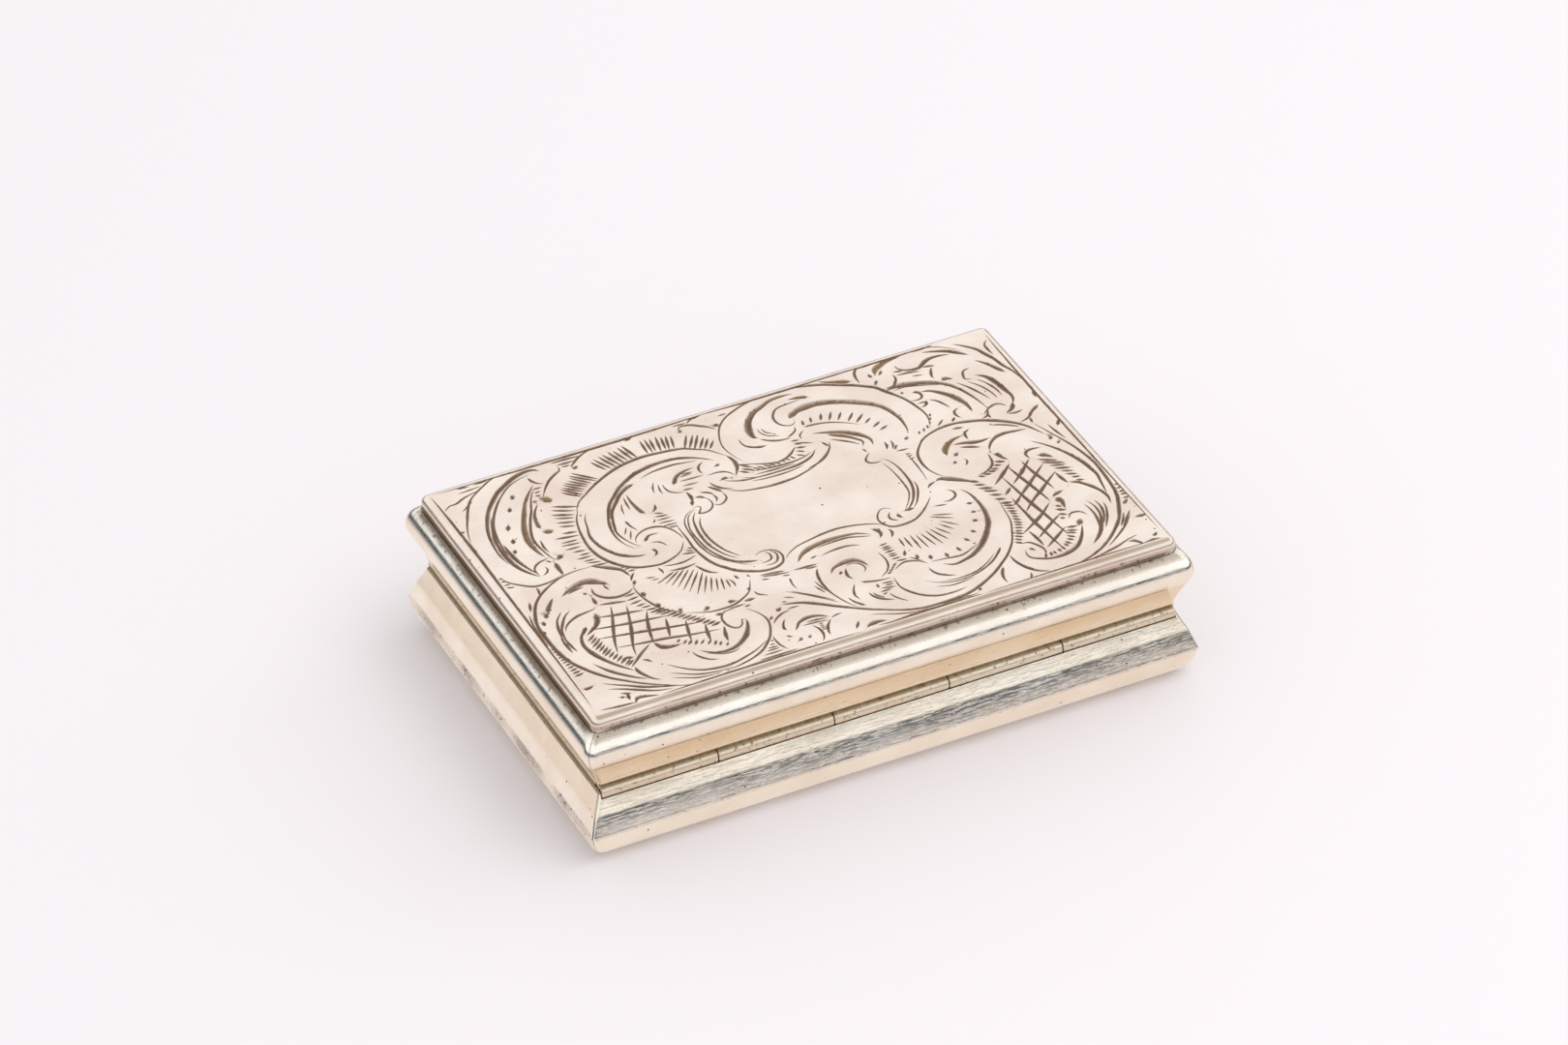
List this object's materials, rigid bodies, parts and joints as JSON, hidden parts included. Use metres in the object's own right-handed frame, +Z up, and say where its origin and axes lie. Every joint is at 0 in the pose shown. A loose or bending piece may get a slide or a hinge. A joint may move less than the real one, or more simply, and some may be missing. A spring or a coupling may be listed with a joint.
{
  "type": "vinaigrette box",
  "caption": "Shallow rectangular silver box with waisted moulded sides, a hinged lid for scroll engraving and a pierced gilt inner grille that lifts off a scented sponge.",
  "frame": {"origin": "middle of the flat underside, where the box stands", "axes": "+X along the box towards its right short side, +Y towards the hinge, +Z up through the lid"},
  "size_m": [0.038, 0.0262, 0.0094],
  "materials": {
    "silver": "old polished silver with fine scratches",
    "gilt": "worn silver gilt",
    "steel_wire": "drawn wire",
    "sponge": "natural sponge"
  },
  "bodies": {
    "base": {"base_floor": "silver", "base_side_back": "silver", "base_side_right": "silver", "base_side_front": "silver", "base_side_left": "silver", "base_hinge_bearer": "silver", "base_knuckle_1": "silver", "base_knuckle_3": "silver", "base_knuckle_5": "silver", "rim_front": "gilt", "rim_right": "gilt", "rim_left": "gilt", "rim_back": "gilt", "grille_lug_left": "gilt", "grille_lug_right": "gilt", "hinge_pin": "steel_wire", "grille_pin": "steel_wire", "sponge": "sponge"},
    "lid": {"lid_plate": "silver", "lid_side_back": "silver", "lid_side_right": "silver", "lid_side_front": "silver", "lid_side_left": "silver", "lid_hinge_bearer": "silver", "lid_knuckle_2": "silver", "lid_knuckle_4": "silver", "thumbpiece": "silver"},
    "grille": {"grille": "gilt", "grille_knuckle": "gilt", "grille_tab": "gilt"}
  },
  "joints": [
    {"name": "lid_hinge", "type": "hinge", "parent": "base", "child": "lid", "pos_m": [0, 0.0119, 0.00422], "axis": [-1, 0, 0], "range_deg": [0, 100]},
    {"name": "grille_hinge", "type": "hinge", "parent": "base", "child": "grille", "pos_m": [0, 0.01004, 0.00373], "axis": [-1, 0, 0], "range_deg": [0, 95]}
  ],
  "couplings": [
    {"joint": "grille_hinge", "follows": "lid_hinge", "ratio": 0.95}
  ]
}
